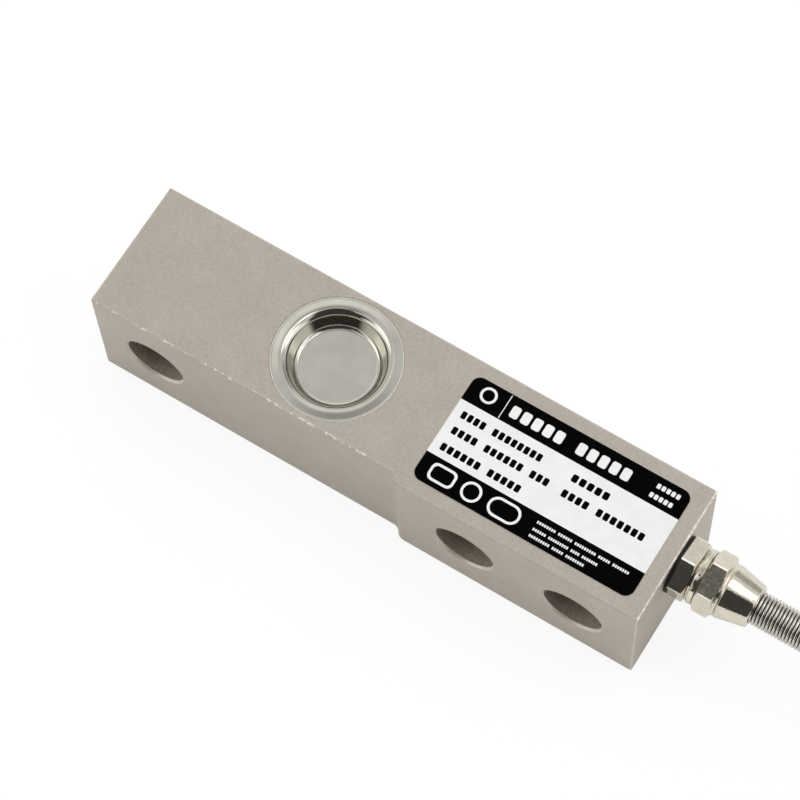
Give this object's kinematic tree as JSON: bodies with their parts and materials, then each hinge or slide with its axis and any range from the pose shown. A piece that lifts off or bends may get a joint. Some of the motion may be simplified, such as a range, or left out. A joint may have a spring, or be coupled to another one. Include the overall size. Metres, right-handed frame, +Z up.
{
  "type": "cantilever beam load cell",
  "caption": "Cantilever shear beam load cell: plated steel bar with bolt holes, raised mounting pad and sealed gauge cups, and a gland with a spring-guarded cable tied in a hank.",
  "frame": {"origin": "on the surface that the cell lies on, under the middle of the beam, gland and spring", "axes": "+X along the beam from the loaded end to the cable end, +Y away from the mounting pad along the bolt holes, +Z up through the label face"},
  "size_m": [0.3214, 0.0486, 0.0381],
  "materials": {
    "plated_steel": "satin, fine-grained nickel plate on alloy steel",
    "stainless_cup": "bright pressed stainless sheet",
    "label_film": "printed polyester film, black bands on near white",
    "nickel_plate": "bright nickel plate on turned brass",
    "black_rubber": "matt black nitrile rubber",
    "spring_steel": "bright drawn spring wire",
    "gauge_film": "amber polyimide foil carrier",
    "silicone": "soft translucent white sealing compound",
    "circuit_board": "green solder mask on glass laminate",
    "tinned_copper": "tinned copper",
    "chip_body": "black ceramic chip resistors",
    "wire_red": "red wire insulation",
    "wire_black": "black wire insulation",
    "wire_green": "green wire insulation",
    "wire_white": "white wire insulation",
    "cable_jacket": "satin black cable jacket",
    "tie_strap": "black nylon strap"
  },
  "bodies": {
    "root": {"beam_body": "plated_steel", "front_sealing_cup": "stainless_cup", "rear_sealing_cup": "stainless_cup", "rating_label": "label_film", "gland_sealing_washer": "black_rubber", "gland_body": "nickel_plate", "gland_grommet": "black_rubber", "gland_clamp_ring": "nickel_plate", "gland_dome_nut": "nickel_plate", "anti_kink_spring": "spring_steel", "front_strain_gauge": "gauge_film", "rear_strain_gauge": "gauge_film", "front_gauge_leads": "tinned_copper", "rear_gauge_leads": "tinned_copper", "front_gauge_coating": "silicone", "rear_gauge_coating": "silicone", "terminal_board": "circuit_board", "terminal_posts": "tinned_copper", "trim_resistors": "chip_body", "core_wire_red": "wire_red", "core_wire_black": "wire_black", "core_wire_green": "wire_green", "core_wire_white": "wire_white", "cable_in_gland": "cable_jacket", "cable": "cable_jacket", "cable_hank": "cable_jacket", "hank_ties": "tie_strap", "flying_lead_red": "wire_red", "flying_lead_black": "wire_black", "flying_lead_green": "wire_green", "flying_lead_white": "wire_white", "flying_lead_drain": "tinned_copper"}
  },
  "joints": []
}
